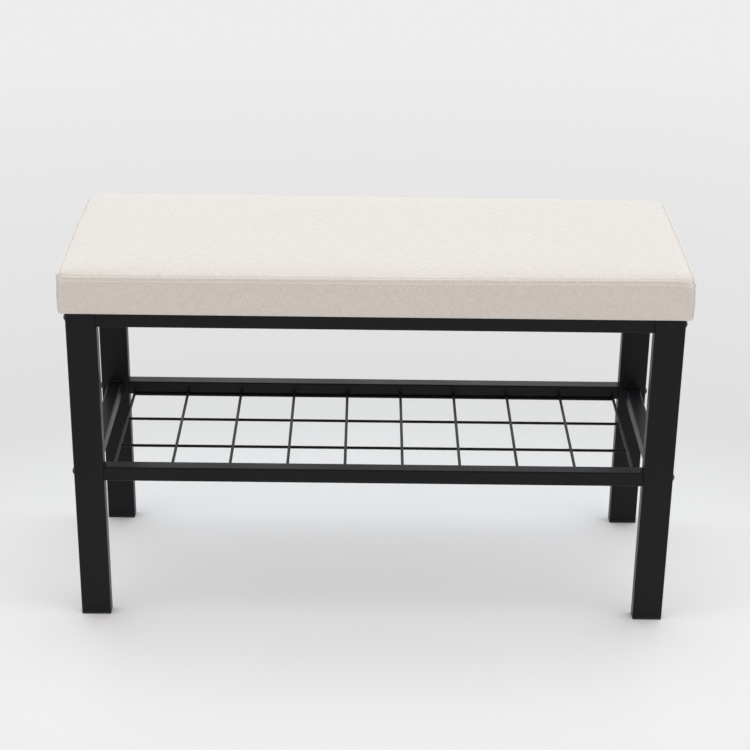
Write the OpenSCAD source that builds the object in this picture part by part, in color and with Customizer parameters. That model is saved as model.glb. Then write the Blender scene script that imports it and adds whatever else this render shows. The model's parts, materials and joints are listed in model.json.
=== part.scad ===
// Entryway bench: an upholstered seat on a bolted steel frame with a wire shoe shelf.
// The origin is on the floor under the middle of the bench. +X runs along the seat,
// -Y is the front and +Z is up. All lengths are in millimetres.

/* [Frame] */
// Length over the outer faces of the legs
frame_l = 800; // [600:10:1200]
// Depth over the front and rear faces of the legs
frame_d = 300; // [260:10:400]
// Height from the floor to the top of the frame
frame_h = 448; // [400:1:500]
// Height of the top face of the shelf rails
shelf_h = 226; // [120:1:300]

/* [Tubes] */
// Width of a leg along the bench
leg_w = 40; // [30:1:50]
// Width of a rail or side bar, and depth of a leg
bar_w = 20; // [18:1:25]
// Wall thickness of every tube
tube_wall = 1.2; // [1:0.1:1.5]
// Outer corner radius of every tube
tube_r = 2; // [1.8:0.1:3]

/* [Foot caps] */
// Thickness of the flange that stands on the floor
foot_flange_t = 3; // [2:0.5:5]
// Length of the plug inside the leg
foot_plug_l = 14; // [10:1:20]
// Wall thickness of the plug
foot_plug_wall = 2; // [1.5:0.1:3]
// Play between the plug and the leg on each side
foot_plug_gap = 0.3; // [0.2:0.05:0.5]
// Number of sealing ribs around the plug
foot_rib_count = 3; // [2:1:4]

/* [Wire shelf] */
// Diameter of every shelf wire
wire_d = 4; // [3:0.5:5]
// Height of the cross wires' centres above the underside of the shelf rails
wire_rise = 5; // [4:0.5:10]
// Number of wires from front to back
cross_wire_count = 10; // [6:1:12]
// Distance between the cross wires' centres
cross_wire_pitch = 78; // [40:1:100]

/* [Seat] */
// Overhang of the seat beyond the frame on each side
seat_overhang = 10; // [5:1:20]
// Thickness of the whole seat
seat_t = 60; // [45:1:80]
// Corner radius of the seat, seen from above
seat_corner_r = 9; // [5:1:20]
// Thickness of the seat board
board_t = 15; // [12:1:18]
// Distance by which the foam wraps over the board's edges on each side
foam_lip = 7; // [3:1:10]
// Thickness of the seat cover fabric
fabric_t = 1; // [0.8:0.1:1.5]
// Width of the fabric turned in under the board
turn_in = 55; // [50:1:80]
// Thickness of the dust cover
dust_cover_t = 0.6; // [0.4:0.1:0.8]
// Gap between the dust cover's edge and the frame
dust_cover_gap = 5; // [3:1:8]

/* [Fasteners] */
// Thread diameter of the frame bolts and the seat screws
bolt_d = 6; // [5:1:6]
// Shank length of a frame bolt beyond the leg
bolt_reach = 10; // [9:1:20]
// Diameter of a button head
head_d = 10.5; // [10:0.5:12]
// Height of a button head
head_h = 3.3; // [3:0.1:4]
// Distance between the two seat screws of one side bar
seat_screw_spacing = 140; // [80:10:180]
// Largest distance between neighbouring staples under the seat
staple_pitch = 85; // [60:5:120]

/* [Hidden] */
$fn = 64;
// Radial clearance of a bolt in a drilled hole, and in its thread
hole_clearance = 0.3;
thread_clearance = 0.05;
board_corner_r = 2;

// Nut plate and weld nut inside a rail's end
nut_plate_t = 2.5;
nut_d = 11;
nut_h = 5;

// Button head details
head_rim_h = 0.8;
socket_af = 4;
socket_depth = 2;

// Tee nut in the seat board
tee_flange_d = 19;
tee_flange_t = 1.5;
tee_barrel_d = 8;
tee_barrel_l = 9.5;
// Distance from a seat screw's tip to the top of the board
screw_tip_inset = 1;

// Staples under the seat
staple_crown = 12;
staple_wire_w = 1.2;
staple_wire_t = 0.6;
staple_leg_l = 8;
staple_inset = 5;

// Fillet welds at the side bars' ends
weld_r = 3;
weld_l = bar_w - 2 * tube_r;

// Sealing ribs of a foot cap
foot_rib_t = 1;
foot_rib_pitch = 3.5;

// Places worked out from the driving dimensions
leg_x = (frame_l - leg_w) / 2;
leg_y = (frame_d - bar_w) / 2;
rail_l = frame_l - 2 * leg_w;
side_bar_l = frame_d - 2 * bar_w;
top_z = frame_h - bar_w / 2;
shelf_z = shelf_h - bar_w / 2;
cross_wire_z = shelf_h - bar_w + wire_rise;
long_wire_z = cross_wire_z - wire_d;
long_wire_y = side_bar_l / 6;
rim_wire_y = (side_bar_l - wire_d) / 2;
wire_span = (cross_wire_count - 1) * cross_wire_pitch;
seat_l = frame_l + 2 * seat_overhang;
seat_d = frame_d + 2 * seat_overhang;
foam_l = seat_l - 2 * fabric_t;
foam_d = seat_d - 2 * fabric_t;
board_l = foam_l - 2 * foam_lip;
board_d = foam_d - 2 * foam_lip;
board_z = frame_h + fabric_t;
dust_l = frame_l - leg_w - bar_w - 2 * dust_cover_gap;
dust_d = side_bar_l - 2 * dust_cover_gap;
staple_x = dust_l / 2 - staple_inset;
staple_y = dust_d / 2 - staple_inset;
bolt_l = leg_w + bolt_reach;
screw_l = board_z + board_t - screw_tip_inset - (frame_h - bar_w);

SIDES = [["left", -1], ["right", 1]];
ENDS = [["front", -1], ["rear", 1]];
CROSS_WIRES = [for (i = [1 : cross_wire_count]) str("cross_wire_", i)];

// ---- Shared shapes ----

// Rectangle with round corners, centred on the origin
module rounded_rect(w, d, r) {
    square([w - 2 * r, d], center = true);
    square([w, d - 2 * r], center = true);
    for (sx = [-1, 1], sy = [-1, 1])
        translate([sx * (w / 2 - r), sy * (d / 2 - r)])
            circle(r);
}

// Upright rectangular tube standing on z = 0
module tube(w, d, length) {
    linear_extrude(length)
        difference() {
            rounded_rect(w, d, tube_r);
            tube_hollow(w, d);
        }
}

// Outline of the space inside a tube
module tube_hollow(w, d) {
    rounded_rect(w - 2 * tube_wall, d - 2 * tube_wall, tube_r - tube_wall);
}

// Turns a shape that stands on z = 0 so that it lies along X, centred on its length
module along_x(length) {
    translate([-length / 2, 0, 0])
        rotate([0, 90, 0])
            children();
}

// Turns a shape that stands on z = 0 so that it lies along Y, centred on its length
module along_y(length) {
    translate([0, length / 2, 0])
        rotate([90, 0, 0])
            children();
}

// Button-headed bolt with its head's underside on z = 0 and its shank down to z = -length
module bolt(length) {
    dome_r = (pow(head_d / 2, 2) + pow(head_h - head_rim_h, 2)) / (2 * (head_h - head_rim_h));
    difference() {
        rotate_extrude()
            intersection() {
                translate([0, head_h - dome_r])
                    circle(dome_r);
                square([head_d / 2, head_h]);
            }
        translate([0, 0, head_h - socket_depth])
            cylinder(d = socket_af / cos(30), h = socket_depth + 1, $fn = 6);
    }
    translate([0, 0, -length])
        cylinder(d = bolt_d, h = length);
}

// Places children at the outer face of each leg, with +Z pointing away from the leg
module at_leg_faces(z) {
    for (sx = [-1, 1], sy = [-1, 1])
        translate([sx * frame_l / 2, sy * leg_y, z])
            rotate([0, sx * 90, 0])
                children();
}

// Places children at each end face of the front and rear rails, with +Z pointing outwards
module at_rail_ends(z) {
    for (sx = [-1, 1], sy = [-1, 1])
        translate([sx * rail_l / 2, sy * leg_y, z])
            rotate([0, sx * 90, 0])
                children();
}

// Places children on the seat screws' axes at the height z
module at_seat_screws(z) {
    for (sx = [-1, 1], sy = [-1, 1])
        translate([sx * leg_x, sy * seat_screw_spacing / 2, z])
            children();
}

// Places children along the edge of the dust cover, with X along that edge
module at_staples(z) {
    long_gaps = ceil(2 * staple_x / staple_pitch);
    short_gaps = ceil(2 * staple_y / staple_pitch);
    for (i = [0 : long_gaps - 1], sy = [-1, 1])
        translate([((i + 0.5) / long_gaps * 2 - 1) * staple_x, sy * staple_y, z])
            children();
    for (i = [0 : short_gaps - 1], sx = [-1, 1])
        translate([sx * staple_x, ((i + 0.5) / short_gaps * 2 - 1) * staple_y, z])
            rotate([0, 0, 90])
                children();
}

// Both legs of one staple, from its crown upwards
module staple_legs() {
    for (sx = [-1, 1])
        translate([sx * (staple_crown - staple_wire_t) / 2, 0, staple_leg_l / 2])
            cube([staple_wire_t, staple_wire_w, staple_leg_l], center = true);
}

// ---- Frame ----

// One leg: sx is its side and sy its end, -1 for left and front
module leg(sx, sy) {
    color("#26272a")
        translate([sx * leg_x, sy * leg_y, 0])
            difference() {
                translate([0, 0, foot_flange_t])
                    tube(leg_w, bar_w, frame_h - foot_flange_t);
                for (z = [shelf_z, top_z])
                    translate([-leg_w / 2 - 1, 0, z])
                        rotate([0, 90, 0])
                            cylinder(d = bolt_d + 2 * hole_clearance, h = leg_w + 2);
            }
}

// Plastic cap in the leg's lower end: a flange on the floor and a hollow ribbed plug
module foot_cap(sx, sy) {
    plug_w = leg_w - 2 * tube_wall - 2 * foot_plug_gap;
    plug_d = bar_w - 2 * tube_wall - 2 * foot_plug_gap;
    color("#1a1a1b")
        translate([sx * leg_x, sy * leg_y, 0])
            difference() {
                union() {
                    linear_extrude(foot_flange_t)
                        rounded_rect(leg_w, bar_w, tube_r);
                    translate([0, 0, foot_flange_t])
                        linear_extrude(foot_plug_l)
                            rounded_rect(plug_w, plug_d, tube_r - tube_wall);
                    for (i = [1 : foot_rib_count])
                        translate([0, 0, foot_flange_t + i * foot_rib_pitch - foot_rib_t])
                            linear_extrude(foot_rib_t)
                                tube_hollow(leg_w, bar_w);
                }
                translate([0, 0, foot_flange_t])
                    linear_extrude(foot_plug_l + 1)
                        square([plug_w - 2 * foot_plug_wall, plug_d - 2 * foot_plug_wall], center = true);
            }
}

// Square tube welded between the front and rear legs of one side
module side_bar(sx, z) {
    translate([sx * leg_x, 0, z])
        along_y(side_bar_l)
            tube(bar_w, bar_w, side_bar_l);
}

// Upper side bar, drilled for the seat screws
module upper_side_bar(sx) {
    color("#26272a")
        difference() {
            side_bar(sx, top_z);
            at_seat_screws(frame_h - bar_w - 1)
                cylinder(d = bolt_d + 2 * hole_clearance, h = bar_w + 2);
        }
}

module lower_side_bar(sx) {
    color("#26272a")
        side_bar(sx, shelf_z);
}

// Square tube between the left and right legs
module rail(sy, z) {
    color("#2b2c2f")
        translate([0, sy * leg_y, z])
            along_x(rail_l)
                tube(bar_w, bar_w, rail_l);
}

// Quarter-round weld bead in the corner between a side bar and a leg
module weld_bead() {
    rotate([0, 90, 0])
        linear_extrude(weld_l, center = true)
            intersection() {
                circle(weld_r);
                translate([-weld_r, -weld_r])
                    square(weld_r);
            }
}

// Beads around the ends of the side bars: under them, beside them and, on the lower bars, on top
module side_frame_welds() {
    color("#303134")
        for (sx = [-1, 1], sy = [0, 1], z = [shelf_z, top_z])
            translate([sx * leg_x, 0, z])
                mirror([0, sy, 0])
                    translate([0, side_bar_l / 2, 0])
                        for (turn = z == top_z ? [90, 180, 270] : [0, 90, 180, 270])
                            rotate([0, turn, 0])
                                translate([0, 0, bar_w / 2])
                                    weld_bead();
}

// Threaded plates welded into the ends of two rails, flush with their end faces
module rail_nut_plates(z) {
    color("#8b8d90")
        at_rail_ends(z)
            difference() {
                union() {
                    translate([0, 0, -nut_plate_t])
                        linear_extrude(nut_plate_t)
                            tube_hollow(bar_w, bar_w);
                    translate([0, 0, -nut_plate_t - nut_h])
                        cylinder(d = nut_d, h = nut_h);
                }
                translate([0, 0, -nut_plate_t - nut_h - 1])
                    cylinder(d = bolt_d + 2 * thread_clearance, h = nut_plate_t + nut_h + 2);
            }
}

// Bolts through the legs into the rails at the height z
module rail_bolts(z) {
    color("#1d1d1f")
        at_leg_faces(z)
            bolt(bolt_l);
}

// ---- Wire shelf ----

// Wire number i, counted from the left, between the inner faces of the shelf rails
module cross_wire(i) {
    color("#222326")
        translate([(i - 1) * cross_wire_pitch - wire_span / 2, 0, cross_wire_z])
            along_y(side_bar_l)
                cylinder(d = wire_d, h = side_bar_l);
}

// Wire along the bench under the cross wires, at y from the middle
module long_wire(y) {
    length = wire_span + wire_d;
    color("#222326")
        translate([0, y, long_wire_z])
            along_x(length)
                cylinder(d = wire_d, h = length);
}

// ---- Seat ----

// Outline of the seat board, from its underside up to the height h
module board_block(h) {
    translate([0, 0, board_z])
        linear_extrude(h)
            rounded_rect(board_l, board_d, board_corner_r);
}

// Everything inside the cover: the board and the foam around it
module seat_filling() {
    translate([0, 0, board_z])
        linear_extrude(seat_t - 2 * fabric_t)
            rounded_rect(foam_l, foam_d, seat_corner_r - fabric_t);
}

// Board that carries the foam, drilled for the tee nuts and the staples
module seat_board() {
    color("#c9a676")
        difference() {
            board_block(board_t);
            at_seat_screws(board_z - 1)
                cylinder(d = tee_barrel_d, h = board_t + 2);
            at_seat_screws(board_z + board_t - tee_flange_t)
                cylinder(d = tee_flange_d, h = tee_flange_t + 1);
            at_staples(frame_h - dust_cover_t)
                staple_legs();
        }
}

// Foam over the board, with a lip around the board's edges
module seat_foam() {
    color("#e9d9a0")
        difference() {
            seat_filling();
            translate([0, 0, -1])
                board_block(board_t + 1);
        }
}

// Fabric over the foam and the board's edges, turned in under the board
module seat_cover() {
    color("#e6ddcf")
        difference() {
            translate([0, 0, frame_h])
                linear_extrude(seat_t)
                    rounded_rect(seat_l, seat_d, seat_corner_r);
            seat_filling();
            translate([0, 0, frame_h - 1])
                linear_extrude(fabric_t + 2)
                    square([seat_l - 2 * turn_in, seat_d - 2 * turn_in], center = true);
            at_seat_screws(frame_h - 1)
                cylinder(d = bolt_d + 2 * hole_clearance, h = fabric_t + 2);
            at_staples(frame_h - dust_cover_t)
                staple_legs();
        }
}

// Thin sheet that closes the underside of the seat inside the frame
module dust_cover() {
    color("#2f2f31")
        difference() {
            translate([0, 0, frame_h - dust_cover_t])
                linear_extrude(dust_cover_t)
                    square([dust_l, dust_d], center = true);
            at_staples(frame_h - dust_cover_t)
                staple_legs();
        }
}

// Staples that hold the dust cover and the turned-in fabric to the board
module underside_staples() {
    color("#b4b6b9")
        at_staples(frame_h - dust_cover_t) {
            staple_legs();
            translate([0, 0, -staple_wire_t / 2])
                cube([staple_crown, staple_wire_w, staple_wire_t], center = true);
        }
}

// Screws up through the upper side bars into the tee nuts
module seat_screws() {
    color("#1d1d1f")
        at_seat_screws(frame_h - bar_w)
            rotate([180, 0, 0])
                bolt(screw_l);
}

// Flanged nuts let into the top of the board
module seat_tee_nuts() {
    color("#a9abae")
        at_seat_screws(board_z + board_t)
            difference() {
                union() {
                    translate([0, 0, -tee_flange_t])
                        cylinder(d = tee_flange_d, h = tee_flange_t);
                    translate([0, 0, -tee_flange_t - tee_barrel_l])
                        cylinder(d = tee_barrel_d, h = tee_barrel_l);
                }
                translate([0, 0, -tee_flange_t - tee_barrel_l - 1])
                    cylinder(d = bolt_d + 2 * thread_clearance, h = tee_flange_t + tee_barrel_l + 2);
            }
}

// ---- Assembly ----

for (e = ENDS, s = SIDES) {
    leg(s[1], e[1]);
    foot_cap(s[1], e[1]);
}
for (s = SIDES) {
    upper_side_bar(s[1]);
    lower_side_bar(s[1]);
}
for (e = ENDS) {
    rail(e[1], top_z);
    rail(e[1], shelf_z);
    long_wire(e[1] * long_wire_y);
    long_wire(e[1] * rim_wire_y);
}
for (i = [1 : cross_wire_count])
    cross_wire(i);
side_frame_welds();
rail_nut_plates(top_z);  // top_rail_nut_plates
rail_nut_plates(shelf_z);  // shelf_rail_nut_plates
rail_bolts(top_z);  // top_rail_bolts
rail_bolts(shelf_z);  // shelf_rail_bolts
seat_screws();
seat_tee_nuts();
seat_board();
seat_foam();
seat_cover();
dust_cover();
underside_staples();
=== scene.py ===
"""Entryway bench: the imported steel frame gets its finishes, and the upholstered seat, its stitching,
the dust cover under it and the weld beads are built here. Lengths are in metres."""

import json
import math

import bpy
import numpy as np
from mathutils import Matrix, Vector, noise


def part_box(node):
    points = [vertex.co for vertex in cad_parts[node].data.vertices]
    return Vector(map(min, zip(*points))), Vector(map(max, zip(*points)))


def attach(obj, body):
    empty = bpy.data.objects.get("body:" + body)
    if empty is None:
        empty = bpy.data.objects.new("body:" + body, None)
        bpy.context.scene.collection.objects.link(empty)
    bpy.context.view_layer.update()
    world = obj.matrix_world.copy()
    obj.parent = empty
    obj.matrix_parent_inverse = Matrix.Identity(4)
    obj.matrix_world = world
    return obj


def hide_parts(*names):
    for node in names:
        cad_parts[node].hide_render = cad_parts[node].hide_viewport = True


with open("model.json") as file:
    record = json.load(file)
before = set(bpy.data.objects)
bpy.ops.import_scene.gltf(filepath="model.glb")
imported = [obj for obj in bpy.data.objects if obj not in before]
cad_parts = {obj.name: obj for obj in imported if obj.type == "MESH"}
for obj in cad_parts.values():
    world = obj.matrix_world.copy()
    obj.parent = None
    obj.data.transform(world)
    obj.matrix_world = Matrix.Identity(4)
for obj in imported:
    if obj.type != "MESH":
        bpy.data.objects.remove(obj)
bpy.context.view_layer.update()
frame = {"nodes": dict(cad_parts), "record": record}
MM = 0.001

# ---- Places taken from the frame ----

COVER_LOW, COVER_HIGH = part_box("seat_cover")
SEAT_A = COVER_HIGH.x                    # half length of the seat
SEAT_B = COVER_HIGH.y                    # half depth of the seat
SEAT_Z = COVER_LOW.z                     # underside of the seat


# ---- Node helpers ----

def add(tree, kind, inputs=None, **settings):
    """Adds a shader node. Inputs maps socket names or numbers to values or to other nodes' sockets."""
    made = tree.nodes.new(kind)
    for key, value in settings.items():
        setattr(made, key, value)
    for key, value in (inputs or {}).items():
        socket = made.inputs[key]
        if isinstance(value, bpy.types.NodeSocket):
            tree.links.new(value, socket)
        else:
            socket.default_value = value
    return made


def new_material(name):
    """An empty material and its node tree."""
    made = bpy.data.materials.new(name)
    made.use_nodes = True
    made.node_tree.nodes.clear()
    return made, made.node_tree


def finish_material(made, tree, shader_inputs):
    """Adds the one shader of a material, and its output."""
    shader = add(tree, "ShaderNodeBsdfPrincipled", shader_inputs)
    add(tree, "ShaderNodeOutputMaterial", {"Surface": shader.outputs["BSDF"]})
    return made


def object_coords(tree, scale=(1, 1, 1)):
    """Object coordinates in metres, multiplied by scale."""
    coords = add(tree, "ShaderNodeTexCoord").outputs["Object"]
    return add(tree, "ShaderNodeMapping", {"Vector": coords, "Scale": scale}).outputs["Vector"]


def noise_at(tree, vector, scale, detail=2.0, roughness=0.5):
    """Noise from 0 to 1 with about scale features per metre."""
    inputs = {"Vector": vector, "Scale": scale, "Detail": detail, "Roughness": roughness}
    return add(tree, "ShaderNodeTexNoise", inputs).outputs["Fac"]


def remap(tree, value, low, high, out_low=0.0, out_high=1.0):
    """Value from low to high turned into out_low to out_high, and held there outside that range."""
    inputs = {"Value": value, "From Min": low, "From Max": high, "To Min": out_low, "To Max": out_high}
    return add(tree, "ShaderNodeMapRange", inputs).outputs["Result"]


def mix_colour(tree, factor, a, b):
    """Colour a where factor is 0, and b where it is 1."""
    made = add(tree, "ShaderNodeMix", data_type="RGBA")
    for key, value in ((0, factor), (6, a), (7, b)):
        if isinstance(value, bpy.types.NodeSocket):
            tree.links.new(value, made.inputs[key])
        else:
            made.inputs[key].default_value = value
    return made.outputs[2]


def maths(tree, operation, a, b=0.0):
    """Result of a Math node."""
    return add(tree, "ShaderNodeMath", {0: a, 1: b}, operation=operation).outputs[0]


def bump(tree, height, strength, distance, normal=None):
    """Normal of a surface with this relief, on top of another relief's normal if there is one."""
    inputs = {"Height": height, "Strength": strength, "Distance": distance}
    if normal is not None:
        inputs["Normal"] = normal
    return add(tree, "ShaderNodeBump", inputs).outputs["Normal"]


# ---- Materials ----

def powder_coat(name, tone):
    """Black powder coat: a faint orange peel, fine grit and slow changes of gloss."""
    made, tree = new_material(name)
    place = object_coords(tree)
    peel = noise_at(tree, place, 420, 2)
    grit = noise_at(tree, place, 1900, 1)
    cloud = noise_at(tree, place, 9, 3)
    darker, lighter = ([c * share for c in tone] + [1] for share in (0.85, 1.2))
    colour = mix_colour(tree, cloud, darker, lighter)
    peel_normal = bump(tree, peel, 0.25, 0.00025)
    return finish_material(made, tree, {
        "Base Color": colour,
        "Roughness": remap(tree, cloud, 0.3, 0.7, 0.34, 0.46),
        "Specular IOR Level": 0.2,
        "Normal": bump(tree, grit, 0.22, 0.00008, peel_normal),
    })


def moulded_plastic(name):
    """Black polyethylene with a fine spark-eroded grain."""
    made, tree = new_material(name)
    grain = noise_at(tree, object_coords(tree), 1500, 3)
    return finish_material(made, tree, {
        "Base Color": mix_colour(tree, grain, (0.010, 0.010, 0.011, 1), (0.016, 0.016, 0.017, 1)),
        "Roughness": remap(tree, grain, 0.3, 0.7, 0.5, 0.62),
        "Normal": bump(tree, grain, 0.3, 0.0001),
    })


def black_oxide(name):
    """Blackened bolt steel with a slightly uneven sheen."""
    made, tree = new_material(name)
    cloud = noise_at(tree, object_coords(tree), 700, 3)
    return finish_material(made, tree, {
        "Base Color": mix_colour(tree, cloud, (0.018, 0.018, 0.020, 1), (0.034, 0.034, 0.036, 1)),
        "Metallic": 0.5,
        "Roughness": remap(tree, cloud, 0.3, 0.7, 0.3, 0.42),
        "Normal": bump(tree, cloud, 0.1, 0.00005),
    })


def zinc_plate(name):
    """Zinc plated steel with the faint spangle of the plating."""
    made, tree = new_material(name)
    place = object_coords(tree)
    spangle = add(tree, "ShaderNodeTexVoronoi", {"Vector": place, "Scale": 900}).outputs["Distance"]
    return finish_material(made, tree, {
        "Base Color": mix_colour(tree, spangle, (0.5, 0.5, 0.49, 1), (0.66, 0.66, 0.65, 1)),
        "Metallic": 1.0,
        "Roughness": remap(tree, spangle, 0.0, 0.6, 0.28, 0.4),
    })


def plywood(name):
    """Raw plywood: long grain on the faces and the glue lines of the plies along the edges."""
    made, tree = new_material(name)
    grain = noise_at(tree, object_coords(tree, (1.5, 24, 24)), 6, 6, 0.6)
    plies = add(tree, "ShaderNodeTexWave", {
        "Vector": object_coords(tree), "Scale": 105, "Distortion": 0.4,
    }, wave_type="BANDS", bands_direction="Z").outputs["Fac"]
    wood = mix_colour(tree, grain, (0.36, 0.23, 0.12, 1), (0.62, 0.45, 0.27, 1))
    glue = remap(tree, plies, 0.0, 0.25, 0.55, 0.0)
    return finish_material(made, tree, {
        "Base Color": mix_colour(tree, glue, wood, (0.17, 0.10, 0.06, 1)),
        "Roughness": 0.75,
        "Normal": bump(tree, grain, 0.2, 0.0003),
    })


def upholstery_foam(name):
    """Yellow open-cell foam."""
    made, tree = new_material(name)
    cells = add(tree, "ShaderNodeTexVoronoi", {
        "Vector": object_coords(tree), "Scale": 1100,
    }).outputs["Distance"]
    return finish_material(made, tree, {
        "Base Color": mix_colour(tree, cells, (0.55, 0.46, 0.24, 1), (0.82, 0.74, 0.46, 1)),
        "Roughness": 0.95,
        "Normal": bump(tree, cells, 0.6, 0.0006),
    })


WEAVE = "weave"                          # attribute with the cover's place along its yarns, in metres
YARN_WAVES = 393                         # wave scale that puts a yarn every 0.8 mm
SLUB_SCALES = (95, 1250)                 # streaks per metre along and across the yarns
SLUB_SHARE, MOTTLE_SHARE = 0.85, 0.3     # how much streaks and blotches count in the tone
TONE_FROM, TONE_TO = 0.75, 1.25          # their sum where the cloth is dark and where it is light
GAP_SHADE_SHARE = 0.16                         # how strongly the painted shade between the yarns shows
LINEN_DARK = (0.74, 0.685, 0.632, 1)
LINEN_LIGHT = (0.895, 0.855, 0.812, 1)
LINEN_GAP_SHADE = (0.57, 0.505, 0.45, 1)       # painted shade between the yarns


def linen(name):
    """Off-white linen-look plain weave: yarns both ways, some of them thicker and lighter or darker, and
    painted shade in the gaps between them.
    """
    made, tree = new_material(name)
    flat = add(tree, "ShaderNodeAttribute", attribute_name=WEAVE).outputs["Vector"]

    def streaks(scale_u, scale_v):
        place = add(tree, "ShaderNodeMapping", {"Vector": flat, "Scale": (scale_u, scale_v, 1)})
        return noise_at(tree, place.outputs["Vector"], 1.0, 2.0, 0.55)

    def yarns(direction):
        return add(tree, "ShaderNodeTexWave", {
            "Vector": flat, "Scale": YARN_WAVES, "Distortion": 0.8, "Detail": 1, "Detail Scale": 0.4,
        }, wave_type="BANDS", bands_direction=direction).outputs["Fac"]

    weave = maths(tree, "MULTIPLY", yarns("X"), yarns("Y"))
    slubs = maths(tree, "ADD", streaks(*SLUB_SCALES), streaks(*reversed(SLUB_SCALES)))
    mottle = noise_at(tree, flat, 210, 3, 0.6)
    blotches = maths(tree, "MULTIPLY", mottle, MOTTLE_SHARE)
    mixed = maths(tree, "ADD", maths(tree, "MULTIPLY", slubs, SLUB_SHARE), blotches)
    tone = mix_colour(tree, remap(tree, mixed, TONE_FROM, TONE_TO), LINEN_DARK, LINEN_LIGHT)
    # painted shade: the gaps between the yarns are darkened
    shaded = mix_colour(tree, remap(tree, weave, 0.0, 0.5, GAP_SHADE_SHARE, 0.0), tone, LINEN_GAP_SHADE)
    relief = maths(tree, "ADD", maths(tree, "MULTIPLY", weave, 0.8), slubs)
    return finish_material(made, tree, {
        "Base Color": shaded,
        "Roughness": 0.9,
        "Specular IOR Level": 0.2,
        "Sheen Weight": 0.2,
        "Sheen Roughness": 0.45,
        "Sheen Tint": (1.0, 0.99, 0.97, 1),
        "Normal": bump(tree, relief, 0.3, 0.0003),
    })


def sewing_thread(name):
    """Twisted cream polyester thread."""
    made, tree = new_material(name)
    twist = noise_at(tree, object_coords(tree), 2600, 1)
    return finish_material(made, tree, {
        "Base Color": mix_colour(tree, twist, (0.93, 0.90, 0.86, 1), (0.99, 0.97, 0.94, 1)),
        "Roughness": 0.6,
        "Sheen Weight": 0.2,
        "Normal": bump(tree, twist, 0.4, 0.0001),
    })


def nonwoven(name):
    """Black spun-bonded sheet with its pattern of small bond points."""
    made, tree = new_material(name)
    place = object_coords(tree)
    bonds = add(tree, "ShaderNodeTexVoronoi", {
        "Vector": place, "Scale": 520, "Randomness": 0.15,
    }).outputs["Distance"]
    fibres = noise_at(tree, place, 1400, 4, 0.7)
    return finish_material(made, tree, {
        "Base Color": mix_colour(tree, fibres, (0.012, 0.012, 0.013, 1), (0.05, 0.05, 0.053, 1)),
        "Roughness": 0.85,
        "Normal": bump(tree, maths(tree, "ADD", bonds, fibres), 0.5, 0.0002),
    })


LIT_POOL_CENTRE = (0.0, -0.15)              # middle of the pool of light painted into the floor's colour, where the bench's shadow falls
LIT_POOL_REACH = (0.85, 0.55)               # where it fades out, in x and y
LIT_POOL_EDGE = 4.0                         # the higher, the shorter its fading edge
FLOOR_NEAR = (0.70, 0.69, 0.675, 1)
FLOOR_FAR = (0.79, 0.775, 0.77, 1)
# painted light: the floor's colour inside the pool of light round the bench
FLOOR_LIT_POOL = (0.97, 0.96, 0.955, 1)
FAR_FROM, FAR_TO = 0.8, 3.2              # distances over which the near tone turns into the far one


def plain_floor(name):
    """Pale seamless studio floor, with a painted pool of light where the bench stands that lifts the
    bench's shadow.
    """
    made, tree = new_material(name)
    place = object_coords(tree)
    offset = add(tree, "ShaderNodeVectorMath", {0: place, 1: (*LIT_POOL_CENTRE, 0)}, operation="SUBTRACT")
    away = add(tree, "ShaderNodeVectorMath", {0: offset.outputs["Vector"]}, operation="LENGTH")
    far = remap(tree, away.outputs["Value"], FAR_FROM, FAR_TO)
    usual = mix_colour(tree, far, FLOOR_NEAR, FLOOR_FAR)
    scaled = add(tree, "ShaderNodeVectorMath", {
        0: offset.outputs["Vector"], 1: (1 / LIT_POOL_REACH[0], 1 / LIT_POOL_REACH[1], 0),
    }, operation="MULTIPLY")
    reach = add(tree, "ShaderNodeVectorMath", {0: scaled.outputs["Vector"]}, operation="LENGTH")
    # painted pool of light: the floor is made lighter round the bench, where its shadow falls
    fading = maths(tree, "POWER", reach.outputs["Value"], LIT_POOL_EDGE)
    lit_pool = maths(tree, "EXPONENT", maths(tree, "MULTIPLY", fading, -1.0))
    return finish_material(made, tree, {
        "Base Color": mix_colour(tree, lit_pool, usual, FLOOR_LIT_POOL),
        "Roughness": 0.9,
        "Specular IOR Level": 0.1,
    })


FINISHES = {
    "frame_tube": powder_coat("black_powder_coat", (0.0061, 0.0062, 0.0084)),
    "shelf_wire": powder_coat("black_wire_coat", (0.0061, 0.0062, 0.0080)),
    "foot_plastic": moulded_plastic("black_foot_plastic"),
    "bolt_black": black_oxide("black_oxide_steel"),
    "plain_steel": zinc_plate("zinc_plated_steel"),
    "seat_board": plywood("raw_plywood"),
    "seat_foam": upholstery_foam("open_cell_foam"),
    "seat_fabric": linen("cream_linen"),
    "dust_cover": nonwoven("black_nonwoven"),
}
THREAD = sewing_thread("cream_thread")


def finish_cad_nodes():
    """Gives every CAD node the finish of its slot in the record."""
    for row in frame["record"]["subparts"]:
        node = frame["nodes"][row["node"]]
        for slot in node.material_slots:
            slot.material = FINISHES[row["material_slot"]]


# ---- Mesh helpers ----

def mesh_object(name, vertices, faces, material, weave=None):
    """A smooth-shaded mesh object of one material. A weave is every vertex's place along the yarns."""
    mesh = bpy.data.meshes.new(name)
    mesh.from_pydata([tuple(map(float, v)) for v in vertices], [], faces)
    mesh.materials.append(material)
    mesh.polygons.foreach_set("use_smooth", [True] * len(mesh.polygons))
    if weave is not None:
        attribute = mesh.attributes.new(WEAVE, "FLOAT_VECTOR", "POINT")
        attribute.data.foreach_set("vector", np.asarray(weave, np.float32).ravel())
    mesh.update()
    made = bpy.data.objects.new(name, mesh)
    bpy.context.scene.collection.objects.link(made)
    return made


def unit(v):
    """Vectors of the same directions, one unit long."""
    return v / np.maximum(np.linalg.norm(v, axis=-1, keepdims=True), 1e-12)


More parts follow.
